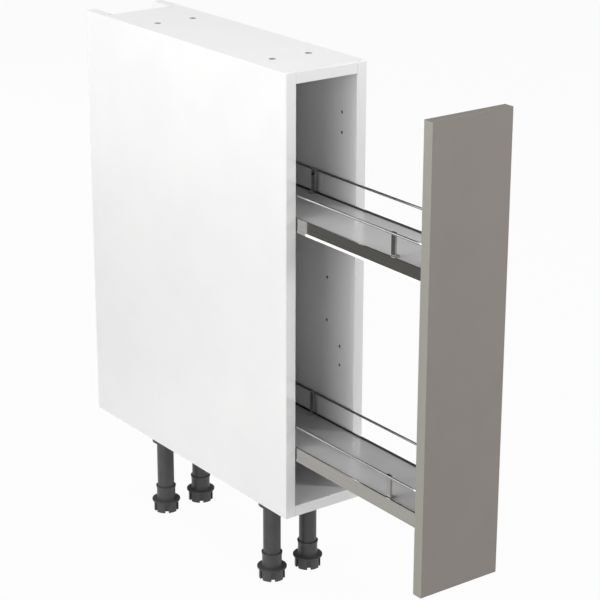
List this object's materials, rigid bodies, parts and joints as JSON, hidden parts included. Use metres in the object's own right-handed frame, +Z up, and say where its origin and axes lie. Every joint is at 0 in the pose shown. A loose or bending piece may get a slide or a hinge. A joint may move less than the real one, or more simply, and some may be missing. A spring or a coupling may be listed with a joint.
{
  "type": "pull-out base cabinet",
  "caption": "Narrow kitchen base cabinet on adjustable legs whose slab front pulls out with railed trays on telescopic runners.",
  "frame": {"origin": "on the floor, below the middle of the box round the whole unit as it stands, pulled out 310 mm", "axes": "+Z up, +X to the unit's right as seen from the front, -Y is the way the front pulls out"},
  "size_m": [0.15, 0.9, 0.87],
  "materials": {
    "white_board": "white faced chipboard, semi-gloss, edged at the front",
    "back_board": "thin white hardboard, matt",
    "front_board": "taupe faced board, matt, edged all round",
    "tray_board": "grey faced board, semi-gloss",
    "tray_chrome": "bright chrome on steel",
    "runner_steel": "galvanised strip, rolled",
    "cage_steel": "ball cage strip with steel balls",
    "bracket_steel": "galvanised sheet, bent",
    "screw_steel": "bright zinc",
    "cast_zinc": "die-cast zinc, as cast",
    "beech": "plain beech dowel",
    "leg_plastic": "dark grey moulded plastic",
    "buffer_rubber": "soft clear-grey buffer",
    "seal_rubber": "black sealing strip"
  },
  "bodies": {
    "carcass": {"back_panel": "back_board", "bottom_panel": "white_board", "carcass_cam_bolts": "screw_steel", "carcass_cam_locks": "cast_zinc", "carcass_dowels": "beech", "cross_bracket_screws": "screw_steel", "left_side_panel": "white_board", "leg_plate_front_left": "leg_plastic", "leg_plate_front_right": "leg_plastic", "leg_plate_rear_left": "leg_plastic", "leg_plate_rear_right": "leg_plastic", "leg_tube_front_left": "leg_plastic", "leg_tube_front_right": "leg_plastic", "leg_tube_rear_left": "leg_plastic", "leg_tube_rear_right": "leg_plastic", "lower_front_cross_bracket": "bracket_steel", "lower_rear_cross_bracket": "bracket_steel", "lower_runner_cabinet_rail": "runner_steel", "right_side_panel": "white_board", "top_panel": "white_board", "upper_front_cross_bracket": "bracket_steel", "upper_rear_cross_bracket": "bracket_steel", "upper_runner_cabinet_rail": "runner_steel"},
    "foot_front_left": {"foot_front_left": "leg_plastic"},
    "foot_front_right": {"foot_front_right": "leg_plastic"},
    "foot_rear_left": {"foot_rear_left": "leg_plastic"},
    "foot_rear_right": {"foot_rear_right": "leg_plastic"},
    "pullout": {"front_panel": "front_board", "front_panel_buffers": "buffer_rubber", "front_panel_screws": "screw_steel", "lower_base_screws": "screw_steel", "lower_front_bracket": "bracket_steel", "lower_gallery_rail": "tray_chrome", "lower_post_screws": "screw_steel", "lower_rail_posts": "tray_chrome", "lower_runner_tray_rail": "runner_steel", "lower_tray_base": "tray_board", "lower_tray_frame": "tray_chrome", "lower_tray_seal": "seal_rubber", "upper_base_screws": "screw_steel", "upper_front_bracket": "bracket_steel", "upper_gallery_rail": "tray_chrome", "upper_post_screws": "screw_steel", "upper_rail_posts": "tray_chrome", "upper_runner_tray_rail": "runner_steel", "upper_tray_base": "tray_board", "upper_tray_frame": "tray_chrome", "upper_tray_seal": "seal_rubber"},
    "inner_cages": {"lower_runner_inner_cages": "cage_steel", "upper_runner_inner_cages": "cage_steel"},
    "runner_middle": {"lower_runner_middle_rail": "runner_steel", "upper_runner_middle_rail": "runner_steel"},
    "outer_cages": {"lower_runner_outer_cages": "cage_steel", "upper_runner_outer_cages": "cage_steel"}
  },
  "joints": [
    {"name": "pullout_slide", "type": "slide", "parent": "carcass", "child": "pullout", "axis": [0, -1, 0], "range_m": [-0.31, 0.14]},
    {"name": "runner_middle_slide", "type": "slide", "parent": "carcass", "child": "runner_middle", "axis": [0, -1, 0], "range_m": [-0.155, 0.07]},
    {"name": "outer_cage_slide", "type": "slide", "parent": "carcass", "child": "outer_cages", "axis": [0, -1, 0], "range_m": [-0.0775, 0.035]},
    {"name": "inner_cage_slide", "type": "slide", "parent": "carcass", "child": "inner_cages", "axis": [0, -1, 0], "range_m": [-0.2325, 0.105]},
    {"name": "foot_front_left_height", "type": "slide", "parent": "carcass", "child": "foot_front_left", "axis": [0, 0, -1], "range_m": [-0.01, 0.02]},
    {"name": "foot_front_right_height", "type": "slide", "parent": "carcass", "child": "foot_front_right", "axis": [0, 0, -1], "range_m": [-0.01, 0.02]},
    {"name": "foot_rear_left_height", "type": "slide", "parent": "carcass", "child": "foot_rear_left", "axis": [0, 0, -1], "range_m": [-0.01, 0.02]},
    {"name": "foot_rear_right_height", "type": "slide", "parent": "carcass", "child": "foot_rear_right", "axis": [0, 0, -1], "range_m": [-0.01, 0.02]}
  ],
  "couplings": [
    {"joint": "runner_middle_slide", "follows": "pullout_slide", "ratio": 0.5},
    {"joint": "outer_cage_slide", "follows": "pullout_slide", "ratio": 0.25},
    {"joint": "inner_cage_slide", "follows": "pullout_slide", "ratio": 0.75}
  ]
}
